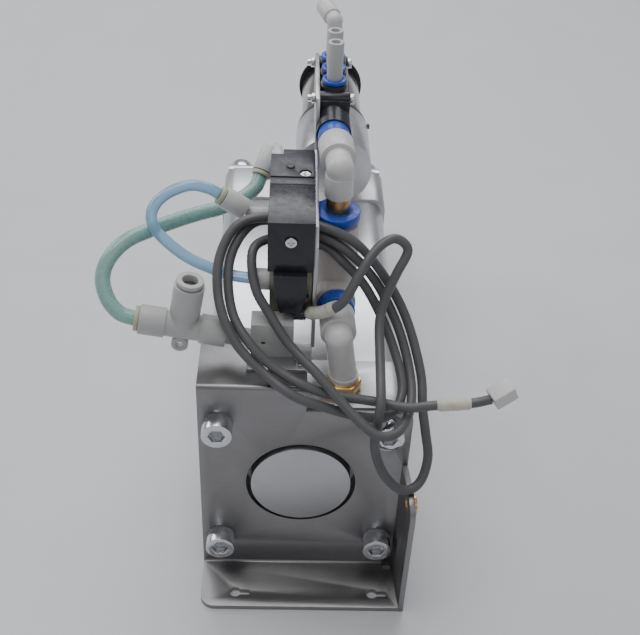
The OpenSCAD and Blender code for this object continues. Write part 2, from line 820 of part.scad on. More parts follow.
module solenoid_housing() {
    color([0.05, 0.05, 0.09])
        difference() {
            union() {
                block([valve_left_x, 30, valve_body_z], [plate_x, window[0] + 1, valve_top_z]);
                block([valve_left_x, 30, 208], [plate_x, window[1], valve_top_z]);
            }
            rod_y(-8.5, 209, 28, 36, 3.2);
        }
}

module pilot_housing() {
    color([0.2, 0.2, 0.24])
        difference() {
            block([valve_left_x, window[1] + 0.4, valve_body_z], [plate_x, 102, valve_top_z]);
            // groove band, screw pocket and rear corner pocket
            block([valve_left_x - 1, 72.5, valve_top_z - 1], [plate_x + 1, 74, valve_top_z + 1]);
            translate([-1.6, 78, valve_top_z - 3])
                cylinder(r = 3.2, h = 5);
            block([valve_left_x - 1, 97, valve_top_z - 4], [-13.5, 103, valve_top_z + 1]);
            rod_y(-14, 209, 94, 103, 4);
            translate([-9.4, 84, valve_top_z - 4])
                cylinder(r = 2.2, h = 6);
            rod_x(70, 199, valve_left_x - 1, -10, 3.5);
        }
}

module override_button() {
    color([0.25, 0.25, 0.28])
        translate([-9.4, 84, valve_top_z - 2.5])
            cylinder(r = 2.1, h = 3.1);
}

module valve_screws() {
    color([0.8, 0.8, 0.8]) {
        // cover screw with a cross recess, in the pocket
        difference() {
            translate([-1.6, 78, valve_top_z - 3])
                cylinder(r = 2.9, h = 2.4);
            for (a = [0, 90])
                translate([-1.6, 78, valve_top_z])
                    rotate([0, 0, a])
                        cube([3.4, 0.8, 2], center = true);
        }
        difference() {
            rod_y(-8.5, 209, 29, 36, 2.9);
            for (a = [0, 90])
                translate([-8.5, 29, 209])
                    rotate([0, a, 0])
                        cube([3.4, 2, 0.8], center = true);
        }
        // plate foot screws
        for (x = [-24, -2])
            translate([x, 16, flange_z + 2])
                cylinder(d = 5, h = 2);
    }
}

module valve_connector() {
    color([0.04, 0.04, 0.06]) {
        prism_y([[-17, valve_body_z], [0, valve_body_z], [0, 178], [-3, 168], [-13.5, 168], [-16, 178]],
            26, 34);
        // outlet that the lead leaves sideways
        rod_x(30, 165, -6, 0, 3.4);
    }
}

module rod_z(x, y, z0, z1, r) {
    translate([x, y, z0])
        cylinder(r = r, h = z1 - z0);
}

// Prism seen along Y: points are [x, z]
module prism_y(points, y0, y1) {
    translate([0, y1, 0])
        rotate([90, 0, 0])
            linear_extrude(y1 - y0)
                polygon(points);
}

base_z = 158;
module valve_base() {
    color([0.6, 0.6, 0.6])
        difference() {
            union() {
                block([-28, 22, flange_z + 2], [-6, 34, base_z + 5]);
                block([-19, 30, 150], [-6, 46, 160]);
            }
            aim(tee_at + tee_run * 34, tee_run)
                cylinder(r = supply_d / 2 + clear, h = 9);
        }
}

// Fitting body behind a collar face at p that points along dir
module push_in(p, dir, tube, outer, length) {
    difference() {
        aim(p, -dir)
            translate([0, 0, 2.6])
                cylinder(r = outer, h = length);
        aim(p, -dir)
            translate([0, 0, 2])
                cylinder(r = tube / 2 + clear, h = length - 3.4);
    }
}

module valve_fittings() {
    color([0.88, 0.87, 0.84]) {
        push_in(fit_green, fit_green_dir, supply_d, 5.7, 14);
        translate([-20.3, 117.3, 209.4])
            sphere(r = 5.8);
        aim([-14, 96, 209], [-4, 22, 2])
            cylinder(r = 3.9, h = 21);
        push_in(fit_blue_top, fit_blue_top_dir, pilot_d, 5.8, 13);
        aim([-32.5, 70, 199.6], [1, 0, 0])
            cylinder(r = 3.4, h = 18);
        push_in(fit_blue_low, fit_blue_low_dir, pilot_d, 5.6, 8);
        aim([-19, 42, 178], [1, 0, 0])
            cylinder(r = 3.4, h = 8);
    }
}

// Release collar standing out of a fitting, as the ring round its tube
module collar(p, dir, tube, outer, proud = 0) {
    difference() {
        aim(p, -dir)
            translate([0, 0, -proud])
                cylinder(r = outer, h = 2.2 + proud);
        aim(p, -dir)
            translate([0, 0, -proud - 1])
                cylinder(r = tube / 2 + clear, h = 5 + proud);
    }
}

module release_collars() {
    color([0.75, 0.74, 0.62]) {
        collar(fit_green, fit_green_dir, supply_d, 5.3);
        collar(fit_blue_top, fit_blue_top_dir, pilot_d, 5);
        collar(fit_blue_low, fit_blue_low_dir, pilot_d, 4.9);
        collar(tee_at - tee_run * 24.8, -tee_run, supply_d, 6.6);
    }
}

// ---------------------------------------------------------------- tee

module tee_body() {
    color([0.78, 0.78, 0.77])
        difference() {
            union() {
                for (d = [tee_run, -tee_run])
                    stepped(tee_at, d, [[6.8, 9], [7.8, 13.4]]);
                stepped(tee_at, tee_branch, [[6.8, 9], [7.8, 17.4]]);
                // stem into the valve base
                stepped(tee_at + tee_run * 22, tee_run, [[6, 5], [4, 14]]);
                // eyelet
                translate(tee_at + [-2, 0, -11])
                    rotate([90, 0, 0])
                        cylinder(r = 4.4, h = 4.5, center = true);
            }
            aim(tee_at, -tee_run)
                translate([0, 0, 2])
                    cylinder(r = supply_d / 2 + clear, h = 40);
            aim(tee_at, tee_branch)
                translate([0, 0, 12])
                    cylinder(r = supply_d / 2 + clear, h = 40);
            aim(tee_at, tee_branch)
                cylinder(r = 3, h = 40);
            aim(tee_at, tee_run)
                cylinder(r = 2.5, h = 50);
            translate(tee_at + [-2, 0, -11.6])
                rotate([90, 0, 0])
                    cylinder(r = 2.2, h = 8, center = true);
            aim(tee_at, tee_branch)
                translate([0, 0, 24])
                    cylinder(r = 6.2, h = 10);
        }
}

module tee_collar() {
    color([0.72, 0.72, 0.7])
        difference() {
            aim(tee_at, tee_branch)
                translate([0, 0, 25.5])
                    union() {
                        cylinder(r = 6.1, h = 3);
                        translate([0, 0, 2])
                            cylinder(r = 6.9, h = 2.2);
                    }
            aim(tee_at, tee_branch)
                translate([0, 0, 20])
                    cylinder(r = supply_d / 2 + 0.1, h = 20);
        }
}

module supply_tube() {
    color([0.4, 0.62, 0.58])
        swept(supply_route, supply_d / 2, 10, 3);
}

module pilot_tube() {
    color([0.4, 0.62, 0.82])
        swept(pilot_route, pilot_d / 2, 10, 3);
}

// ---------------------------------------------------------------- elbows

module brass_hex() {
    color([0.76, 0.56, 0.28]) {
        translate([port.x, port.y, port.z])
            cylinder(d = 19.6, h = 7, $fn = 6);
        translate([port.x, port.y, port.z + 7])
            cylinder(r = 8.2, h = 1.5);
        translate([port.x, port.y, port.z - 11])
            cylinder(d = 13.1, h = 11);
    }
}

low_run = union_axis - elbow_low;
module lower_elbow() {
    start = [port.x, port.y, port.z + 9.6];
    color([0.9, 0.9, 0.89]) {
        rod_z(port.x, port.y, port.z + 8.6, port.z + 10.8, 7.9);
        aim(start, elbow_low - start)
            cylinder(r = 7.1, h = norm(elbow_low - start));
        translate(elbow_low)
            sphere(r = 7.2);
        stepped(elbow_low, low_run, [[7.1, 4], [9.35, 15.5], [6, 14]]);
    }
}

union_face = elbow_low + unit(low_run) * 28.5;
module union_elbow() {
    color([0.88, 0.85, 0.8])
        difference() {
            union() {
                aim(union_face, low_run)
                    cylinder(r = 10.6, h = 17);
                translate([union_axis.x, union_axis.y, 149])
                    cylinder(r = 12, h = 50);
                translate([union_axis.x, union_axis.y, 146])
                    cylinder(r = 10.5, h = 4);
            }
            aim(union_face - unit(low_run), low_run)
                cylinder(r = 6 + clear, h = 7);
            translate([union_axis.x, union_axis.y, 190])
                cylinder(r = 6.1 + clear, h = 20);
        }
}

module upper_elbow() {
    run_high = manifold_in - elbow_high;
    color([0.9, 0.9, 0.89]) {
        rod_z(elbow_high.x, elbow_high.y, 220, elbow_high.z, 6.95);
        rod_z(elbow_high.x, elbow_high.y, 214.8, 226.6, 7.25);
        translate(elbow_high)
            sphere(r = 7.05);
        stepped(elbow_high, run_high, [[6.95, 9.8], [9.25, 17.2], [5.9, 13.5]]);
        rod_z(elbow_high.x, elbow_high.y, 192, 216, 6.1);
    }
}

// ---------------------------------------------------------------- manifold

manifold_clamp_y = [124, 169];
manifold_clamp_z = 239.5;
module manifold() {
    color([0.06, 0.06, 0.07])
        difference() {
            union() {
                rod_y(manifold_x, manifold_in.z, manifold_front_y, 119.5, 9.4);
                block([plate_x + plate_t, 119, 221], [21.5, 172, manifold_top_z - 6]);
                for (y = manifold_ports_y)
                    translate([manifold_x, y, 230])
                        cylinder(r = 7.3, h = manifold_top_z - 230);
                for (y = manifold_clamp_y)
                    rod_x(y, manifold_clamp_z, plate_x + plate_t, 21.5, 3.9);
            }
            rod_y(manifold_x, manifold_in.z, manifold_in.y, 112, 6.6);
            for (y = manifold_ports_y)
                translate([manifold_x, y, manifold_top_z - 14])
                    cylinder(r = 4.3 + clear, h = 20);
            for (y = manifold_clamp_y)
                rod_x(y, manifold_clamp_z, 0, 30, 2);
        }
}

module ring_z(x, y, z, h, outer, inner) {
    difference() {
        rod_z(x, y, z, z + h, outer);
        rod_z(x, y, z - 1, z + h + 1, inner);
    }
}

module manifold_collars() {
    color([0.12, 0.25, 0.72]) {
        for (y = manifold_ports_y)
            ring_z(manifold_x, y, manifold_top_z, 2.2, 6.75, 4.3 + clear);
        difference() {
            rod_y(manifold_x, manifold_in.z, 93.5, manifold_front_y, 8.6);
            rod_y(manifold_x, manifold_in.z, 90, manifold_front_y + 1, 6.6);
        }
        ring_z(union_axis.x, union_axis.y, 201, 5, 11.9, 6.1 + clear);
        ring_z(union_axis.x, union_axis.y, 199, 2, 9, 6.1 + clear);
        difference() {
            aim(union_face - unit(low_run) * 8, low_run)
                cylinder(r = 9.9, h = 8);
            aim(union_face - unit(low_run) * 9, low_run)
                cylinder(r = 6 + clear, h = 10);
        }
    }
}

module manifold_plugs() {
    color([0.7, 0.7, 0.68])
        for (i = [0, 1])
            translate([manifold_x, manifold_ports_y[i], manifold_top_z - 12])
                difference() {
                    cylinder(r = 4.3, h = 35);
                    translate([0, 0, 20])
                        cylinder(r = 2.4, h = 20);
                }
}

elbow_small = [13, 161, 268];
module manifold_elbow() {
    color([0.9, 0.9, 0.88]) {
        rod_z(elbow_small.x, elbow_small.y, manifold_top_z - 12, elbow_small.z, 4.2);
        translate(elbow_small)
            sphere(r = 4.3);
        stepped(elbow_small, [-0.35, 0.9, 0.15], [[4.2, 4], [5, 12]]);
    }
}

module manifold_screws() {
    color([0.85, 0.85, 0.87])
        for (y = manifold_clamp_y) {
            rod_x(y, manifold_clamp_z, -1.5, 21.5, 1.9);
            rod_x(y, manifold_clamp_z, 21.5, 24, 2.9);
            rod_x(y, manifold_clamp_z, 0.8, plate_x, 2.8);
        }
}

// ---------------------------------------------------------------- lead

lead_last = len(lead_route) - 1;
module lead() {
    color([0.42, 0.42, 0.44])
        swept(lead_route, lead_d / 2, 8, 1);
}

module lead_sleeves() {
    color([0.8, 0.79, 0.72]) {
        swept([[1, 29, 166], [8, 25, 170], [14, 23, 175]], lead_d / 2 + 1, 10, 3);
        swept([[67, -8, 138], [76, -8, 139], [84, -8, 140]], lead_d / 2 + 0.8, 10, 2);
    }
}

module lead_plug() {
    tip = lead_route[lead_last];
    color([0.88, 0.87, 0.84])
        translate(tip)
            rotate([0, -25, 20])
                difference() {
                    block([0, -5, -4], [12, 5, 4]);
                    for (y = [-2.4, 2.4])
                        block([9, y - 1.6, -1.8], [13, y + 1.6, 1.8]);
                }
}

mounting_bracket();
side_insert();
bracket_screws();
rear_cap();
barrel();
tie_rods();
front_cap();
piston();
piston_seals();
stop_tube();
piston_rod();
rod_bush();
rod_wiper();
support_foot();
support_screws();
gripper_housing();
housing_screws();
side_covers();
drive_wedge();
base_jaw_left();
base_jaw_right();
finger_left();
finger_right();
finger_screws_left();
finger_screws_right();
finger_pad_left();
finger_pad_right();
ejector_rear_head();
ejector_tube();
ejector_front_head();
ejector_band();
ejector_piston();
ejector_rod();
pusher_plate();
valve_plate();
valve_body();
solenoid_housing();
pilot_housing();
override_button();
valve_screws();
valve_connector();
valve_base();
valve_fittings();
release_collars();
tee_body();
tee_collar();
supply_tube();
pilot_tube();
brass_hex();
lower_elbow();
union_elbow();
upper_elbow();
manifold();
manifold_collars();
manifold_plugs();
manifold_elbow();
manifold_screws();
lead();
lead_sleeves();
lead_plug();
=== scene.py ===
"""Looks of the pneumatic gripper: bevelled parts, hoses and lead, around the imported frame."""
import json
import math

import bmesh
import bpy
from mathutils import Matrix, Vector, noise


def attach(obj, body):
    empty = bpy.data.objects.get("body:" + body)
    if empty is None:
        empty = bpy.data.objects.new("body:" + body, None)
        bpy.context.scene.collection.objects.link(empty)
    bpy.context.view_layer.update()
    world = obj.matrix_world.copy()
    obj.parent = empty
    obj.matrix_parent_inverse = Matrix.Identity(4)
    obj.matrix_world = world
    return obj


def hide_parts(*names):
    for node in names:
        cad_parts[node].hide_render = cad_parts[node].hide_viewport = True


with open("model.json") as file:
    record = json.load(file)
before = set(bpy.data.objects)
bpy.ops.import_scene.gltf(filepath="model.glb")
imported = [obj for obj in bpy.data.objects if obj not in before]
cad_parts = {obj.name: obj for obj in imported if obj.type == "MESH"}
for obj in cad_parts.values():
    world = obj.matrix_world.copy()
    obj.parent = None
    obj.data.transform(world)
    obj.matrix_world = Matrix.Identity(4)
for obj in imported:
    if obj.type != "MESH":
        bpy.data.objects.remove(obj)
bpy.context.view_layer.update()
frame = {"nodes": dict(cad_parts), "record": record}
node_body = {}
for body_name, node_names in frame["record"]["behaviour"]["bodies"].items():
    for node_name in node_names:
        node_body[node_name] = body_name
node_slot = {row["node"]: row["material_slot"] for row in frame["record"]["subparts"]}

MM = 0.001


def vec(*p):
    """A point or length given in millimetres, in metres."""
    return Vector(p) * MM


# ---------------------------------------------------------------- camera

CAMERA_AT = vec(-9.8, -388.0, 494.7)
CAMERA_PITCH, CAMERA_ROLL, CAMERA_YAW = (math.radians(a) for a in (-38.44, -2.82, -2.35))
LENS = 58.22


def make_camera():
    camera_data = bpy.data.cameras.new("camera")
    camera_data.lens = LENS
    camera_data.sensor_width = 36
    camera_data.clip_start = 0.01
    camera_data.clip_end = 50
    camera = bpy.data.objects.new("camera", camera_data)
    bpy.context.collection.objects.link(camera)
    turn = (Matrix.Rotation(CAMERA_YAW, 4, "Z") @ Matrix.Rotation(CAMERA_PITCH, 4, "X")
            @ Matrix.Rotation(CAMERA_ROLL, 4, "Y") @ Matrix.Rotation(math.radians(90), 4, "X"))
    camera.matrix_world = Matrix.Translation(CAMERA_AT) @ turn
    bpy.context.scene.camera = camera


make_camera()


# ---------------------------------------------------------------- materials

MIX_A, MIX_B, MIX_COLOUR = 6, 7, 2     # the colour sockets of a Mix node


class Surface:
    """A Principled material whose colour, roughness and bump come from object-space noise."""

    def __init__(self, name, colour, rough, metal=0.0, **sockets):
        self.material = bpy.data.materials.new(name)
        self.material.use_nodes = True
        self.tree = self.material.node_tree
        self.shader = self.tree.nodes["Principled BSDF"]
        self.colour = tuple(colour) + (1.0,)
        self.set("Base Color", self.colour)
        self.set("Roughness", rough)
        self.set("Metallic", metal)
        for key, value in sockets.items():
            self.set(key.replace("_", " "), value)
        self.normal = None
        self.rough = rough
        coords = self.tree.nodes.new("ShaderNodeTexCoord")
        self.coords = coords.outputs["Object"]
        self.colour_from = None

    def set(self, socket, value):
        self.shader.inputs[socket].default_value = value

    def link(self, a, b):
        self.tree.links.new(a, b)

    def noise(self, size_mm, detail=3.0, stretch=(1, 1, 1), rough=0.55, distort=0.0):
        """Noise whose features are about size_mm across, drawn out along the axes with a large stretch."""
        mapping = self.tree.nodes.new("ShaderNodeMapping")
        mapping.inputs["Scale"].default_value = [1000.0 / (size_mm * s) for s in stretch]
        texture = self.tree.nodes.new("ShaderNodeTexNoise")
        texture.inputs["Scale"].default_value = 1.0
        texture.inputs["Detail"].default_value = detail
        texture.inputs["Roughness"].default_value = rough
        texture.inputs["Distortion"].default_value = distort
        self.link(self.coords, mapping.inputs["Vector"])
        self.link(mapping.outputs["Vector"], texture.inputs["Vector"])
        return texture.outputs["Fac"]

    def ramp(self, value, low, high, from_low=0.35, from_high=0.65):
        """Value stretched from its own range to low..high."""
        node = self.tree.nodes.new("ShaderNodeMapRange")
        node.inputs["From Min"].default_value = from_low
        node.inputs["From Max"].default_value = from_high
        node.inputs["To Min"].default_value = low
        node.inputs["To Max"].default_value = high
        self.link(value, node.inputs["Value"])
        return node.outputs["Result"]

    def vary_rough(self, value, low, high, from_low=0.35, from_high=0.65):
        self.link(self.ramp(value, low, high, from_low, from_high), self.shader.inputs["Roughness"])

    def tint(self, value, colour, amount=1.0, from_low=0.35, from_high=0.65):
        """Mixes colour in where value is high."""
        node = self.tree.nodes.new("ShaderNodeMix")
        node.data_type = "RGBA"
        if self.colour_from is None:
            node.inputs[MIX_A].default_value = self.colour
        else:
            self.link(self.colour_from, node.inputs[MIX_A])
        node.inputs[MIX_B].default_value = tuple(colour) + (1.0,)
        self.link(self.ramp(value, 0.0, amount, from_low, from_high), node.inputs[0])
        self.colour_from = node.outputs[MIX_COLOUR]
        self.link(self.colour_from, self.shader.inputs["Base Color"])

    def bump(self, value, height_mm, strength=1.0):
        node = self.tree.nodes.new("ShaderNodeBump")
        node.inputs["Distance"].default_value = height_mm * MM
        node.inputs["Strength"].default_value = strength
        self.link(value, node.inputs["Height"])
        if self.normal is not None:
            self.link(self.normal, node.inputs["Normal"])
        self.normal = node.outputs["Normal"]
        self.link(self.normal, self.shader.inputs["Normal"])


def plastic(name, colour, rough=0.38, grain=0.012, dirt=(0.5, 0.48, 0.44), dirt_amount=0.12, **sockets):
    """Moulded plastic: fine grain, slight blotches of colour and a little handling dirt."""
    s = Surface(name, colour, rough, **sockets)
    blotches = s.noise(9, 4)
    s.tint(blotches, [c * d for c, d in zip(colour, dirt)], dirt_amount, 0.45, 0.8)
    s.vary_rough(s.noise(3.5, 5), rough - 0.07, rough + 0.1)
    s.bump(s.noise(0.35, 3), grain)
    s.bump(s.noise(14, 2), 0.05, 0.5)
    return s.material


def metal(name, colour, rough, grain_mm=0.5, grain=0.004, stretch=(1, 1, 1), smudge=0.06, dark=0.15):
    """Bare or plated metal: fine grain or brushing along one axis, smudges in its gloss, faint stains."""
    s = Surface(name, colour, rough, 1.0)
    s.tint(s.noise(26, 5, distort=0.6), [c * 0.72 for c in colour], dark, 0.42, 0.72)
    s.vary_rough(s.noise(11, 6, distort=1.0), max(0.05, rough - smudge), rough + smudge, 0.3, 0.7)
    s.bump(s.noise(grain_mm, 3, stretch), grain)
    return s.material


def stainless_sheet():
    """Bracket sheet: short horizontal brushing, finger smudges and small scratches."""
    s = Surface("stainless sheet", (0.30, 0.295, 0.30), 0.4, 1.0, Specular_IOR_Level=0.5)
    s.tint(s.noise(30, 5, distort=0.8), (0.25, 0.245, 0.245), 0.5, 0.42, 0.75)
    s.tint(s.noise(1.6, 4, (5, 1, 1)), (0.36, 0.355, 0.35), 0.25, 0.5, 0.8)
    s.vary_rough(s.noise(20, 5, distort=1.0), 0.33, 0.44, 0.3, 0.7)
    s.bump(s.noise(0.28, 4, (14, 1, 1)), 0.004)
    s.bump(s.noise(60, 2), 0.1, 0.5)
    return s.material


def tube_plastic(name, colour, clear, rough):
    """Translucent polyurethane tube."""
    s = Surface(name, colour, rough, Transmission_Weight=clear, IOR=1.49, Coat_Weight=0.4)
    s.tint(s.noise(22, 3), [c * 0.8 for c in colour], 0.35)
    s.bump(s.noise(6, 3), 0.03, 0.6)
    s.vary_rough(s.noise(4, 5), rough, rough + 0.12)
    return s.material


def lead_sheath():
    s = Surface("lead sheath", (0.10, 0.10, 0.105), 0.38, Specular_IOR_Level=0.5)
    s.tint(s.noise(30, 4), (0.14, 0.14, 0.145), 0.5)
    s.tint(s.noise(5, 5), (0.07, 0.07, 0.075), 0.3, 0.5, 0.8)
    s.vary_rough(s.noise(7, 5), 0.34, 0.55)
    s.bump(s.noise(0.5, 4), 0.02)
    s.bump(s.noise(8, 2), 0.12, 0.6)
    return s.material


def sleeve_skin():
    s = Surface("sleeve skin", (0.60, 0.585, 0.50), 0.5, Subsurface_Weight=0.1)
    s.tint(s.noise(4, 5), (0.40, 0.38, 0.30), 0.5, 0.5, 0.75)
    s.bump(s.noise(1.6, 4, (2.5, 1, 1)), 0.16)
    s.bump(s.noise(0.4, 2), 0.02)
    return s.material


def rubber_skin():
    s = Surface("black rubber", (0.022, 0.022, 0.023), 0.62)
    s.tint(s.noise(7, 5), (0.07, 0.068, 0.062), 0.5, 0.5, 0.8)
    s.bump(s.noise(0.3, 3), 0.02)
    s.vary_rough(s.noise(5, 4), 0.5, 0.75)
    return s.material


LOOKS = {
    "bracket_steel": stainless_sheet(),
    "brass": metal("brass", (0.78, 0.50, 0.20), 0.28, 0.5, 0.004),
    "zinc": metal("bright zinc", (0.72, 0.73, 0.75), 0.22, 0.7, 0.004, smudge=0.1),
    "cast_aluminium": metal("cast aluminium", (0.56, 0.56, 0.57), 0.42, 0.45, 0.008),
    "anodised_barrel": metal("anodised barrel", (0.66, 0.67, 0.69), 0.3, 0.25, 0.0015, (1, 60, 1),
                             smudge=0.03, dark=0.08),
    "machined_aluminium": metal("milled aluminium", (0.66, 0.67, 0.69), 0.3, 0.3, 0.004, (1, 8, 1)),
    "steel": metal("ground steel", (0.50, 0.50, 0.51), 0.28, 0.3, 0.004, (8, 1, 1)),
    "chromed_rod": metal("hard chrome", (0.75, 0.76, 0.78), 0.1, 0.4, 0.001, smudge=0.04),
    "dark_aluminium": metal("dark anodised", (0.10, 0.105, 0.12), 0.36, 0.4, 0.008),
    "black_steel": metal("black oxide", (0.045, 0.045, 0.048), 0.38, 0.6, 0.006),
    "black_rubber": rubber_skin(),
    "bronze": metal("bronze", (0.45, 0.28, 0.13), 0.32, 0.5, 0.006),
    "tube_steel": metal("polished tube", (0.50, 0.46, 0.43), 0.16, 0.3, 0.001, (1, 50, 1), smudge=0.03),
    "plate_steel": metal("zinc sheet", (0.52, 0.52, 0.53), 0.34, 0.4, 0.003, (1, 9, 1)),
    "valve_metal": metal("olive casting", (0.24, 0.24, 0.2), 0.45, 0.5, 0.01),
    "black_plastic": plastic("gloss black", (0.02, 0.02, 0.028), 0.26, 0.004, (2, 2, 2), 0.15),
    "grey_black_plastic": plastic("grained black", (0.035, 0.035, 0.045), 0.38, 0.008,
                                  (1.6, 1.6, 1.6), 0.2),
    "light_plastic": plastic("light grey", (0.50, 0.50, 0.49), 0.4),
    "white_plastic": plastic("white", (0.64, 0.635, 0.63), 0.34, Subsurface_Weight=0.06),
    "beige_plastic": plastic("warm white", (0.60, 0.57, 0.54), 0.36, Subsurface_Weight=0.06),
    "cream_plastic": plastic("cream", (0.52, 0.50, 0.36), 0.4),
    "blue_plastic": plastic("blue", (0.022, 0.085, 0.50), 0.33),
    "supply_tube": tube_plastic("green tube", (0.34, 0.60, 0.54), 0.35, 0.22),
    "pilot_tube": tube_plastic("blue tube", (0.42, 0.70, 0.92), 0.6, 0.12),
    "lead_grey": lead_sheath(),
    "sleeve_cream": sleeve_skin(),
}


# ---------------------------------------------------------------- pieces

def finish_piece(obj, body, slot, replaced=()):
    """Gives a new piece the material of its slot, parents it to its body's empty and hides the nodes it
    stands in for.
    """
    obj.data.materials.clear()
    obj.data.materials.append(LOOKS[slot])
    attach(obj, body)
    if replaced:
        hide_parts(*replaced)
    return obj


def mesh_object(name, bm, sharp_deg=32):
    mesh = bpy.data.meshes.new(name)
    bmesh.ops.recalc_face_normals(bm, faces=bm.faces)
    bm.to_mesh(mesh)
    bm.free()
    mesh.polygons.foreach_set("use_smooth", [True] * len(mesh.polygons))
    mesh.set_sharp_from_angle(angle=math.radians(sharp_deg))
    obj = bpy.data.objects.new(name, mesh)
    bpy.context.collection.objects.link(obj)
    return obj


def apply_modifiers(obj):
    bpy.context.view_layer.update()
    graph = bpy.context.evaluated_depsgraph_get()
    mesh = bpy.data.meshes.new_from_object(obj.evaluated_get(graph))
    obj.modifiers.clear()
    obj.data = mesh
    mesh.polygons.foreach_set("use_smooth", [True] * len(mesh.polygons))
    mesh.set_sharp_from_angle(angle=math.radians(40))


def refined(node, edge_mm=0.4, segments=2):
    """A copy of a CAD node with its sharp edges rounded, which stands for the node."""
    bm = bmesh.new()
    bm.from_mesh(frame["nodes"][node].data)
    bmesh.ops.remove_doubles(bm, verts=bm.verts, dist=2e-6)
    bmesh.ops.dissolve_limit(bm, angle_limit=math.radians(0.6), verts=bm.verts, edges=bm.edges)
    obj = mesh_object(node + "_shell", bm)
    bevel = obj.modifiers.new("bevel", "BEVEL")
    bevel.width = edge_mm * MM
    bevel.segments = segments
    bevel.limit_method = "ANGLE"
    bevel.angle_limit = math.radians(38)
    bevel.use_clamp_overlap = True
    bevel.miter_outer = "MITER_ARC"
    apply_modifiers(obj)
    return finish_piece(obj, node_body[node], node_slot[node], [node])


def basis(direction):
    """Two directions across the given one."""
    w = Vector(direction).normalized()
    u = w.cross(Vector((0, 0, 1)) if abs(w.z) < 0.9 else Vector((1, 0, 0))).normalized()
    return u, w.cross(u), w


def add_turned(bm, start, direction, profile, sides=40):
    """Adds a turned shape: profile is a list of (along, radius) in millimetres, closed at radius 0."""
    u, v, w = basis(direction)
    start = Vector(start) * MM
    rings = []
    for along, radius in profile:
        centre = start + w * along * MM
        if radius <= 1e-6:
            rings.append([bm.verts.new(centre)])
            continue
        rings.append([bm.verts.new(centre + (u * math.cos(a) + v * math.sin(a)) * radius * MM)
                      for a in (2 * math.pi * k / sides for k in range(sides))])
    for a, b in zip(rings, rings[1:]):
        for k in range(sides):
            n = (k + 1) % sides
            if len(a) == 1 and len(b) == 1:
                continue
            if len(a) == 1:
                bm.faces.new([a[0], b[n], b[k]])
            elif len(b) == 1:
                bm.faces.new([a[k], a[n], b[0]])
            else:
                bm.faces.new([a[k], a[n], b[n], b[k]])


def round_step(profile, soften=0.5):
    """A stepped profile with each corner cut by a small chamfer."""
    out = [profile[0]]
    for before, here, after in zip(profile, profile[1:], profile[2:]):
        cut = []
        for other in (before, after):
            d = Vector((other[0] - here[0], other[1] - here[1]))
            reach = min(soften, d.length * 0.45)
            cut.append((here[0] + d.normalized().x * reach, here[1] + d.normalized().y * reach))
        middle = tuple(0.25 * cut[0][i] + 0.5 * here[i] + 0.25 * cut[1][i] for i in (0, 1))
        out += [cut[0], middle, cut[1]]
    out.append(profile[-1])
    return out


def carry_frames(points):
    """Directions along a path and normals carried along it without twist."""
    tangents = []
    last = len(points) - 1
    for i in range(last + 1):
        tangents.append((points[min(i + 1, last)] - points[max(i - 1, 0)]).normalized())
    u, _, _ = basis(tangents[0])
    normals = [u]
    for t in tangents[1:]:
        n = normals[-1] - t * normals[-1].dot(t)
        normals.append(n.normalized())
    return tangents, normals


def add_sweep(bm, points, radii, sides=24, caps=True):
    """Adds a round bar along points, in metres, with a radius in millimetres at each."""
    tangents, normals = carry_frames(points)
    rings = []
    for p, t, n, r in zip(points, tangents, normals, radii):
        b = t.cross(n)
        rings.append([bm.verts.new(p + (n * math.cos(a) + b * math.sin(a)) * r * MM)
                      for a in (2 * math.pi * k / sides for k in range(sides))])
    for a, b in zip(rings, rings[1:]):
        for k in range(sides):
            n = (k + 1) % sides
            bm.faces.new([a[k], a[n], b[n], b[k]])
    if caps:
        bm.faces.new(rings[0][::-1])
        bm.faces.new(rings[-1])
    return rings


def through(points, per_span):
    """A smooth path through points in millimetres, in metres."""
    p = [Vector(q) for q in points]
    p = [2 * p[0] - p[1]] + p + [2 * p[-1] - p[-2]]
    path = []
    for i in range(1, len(p) - 2):
        a, b, c, d = p[i - 1:i + 3]
        for j in range(per_span):
            t = j / per_span
            path.append(0.5 * (2 * b + (c - a) * t + (2 * a - 5 * b + 4 * c - d) * t * t
                               + (3 * b - a - 3 * c + d) * t ** 3) * MM)
    path.append(p[-2] * MM)
    return path


# ---------------------------------------------------------------- hoses and lead

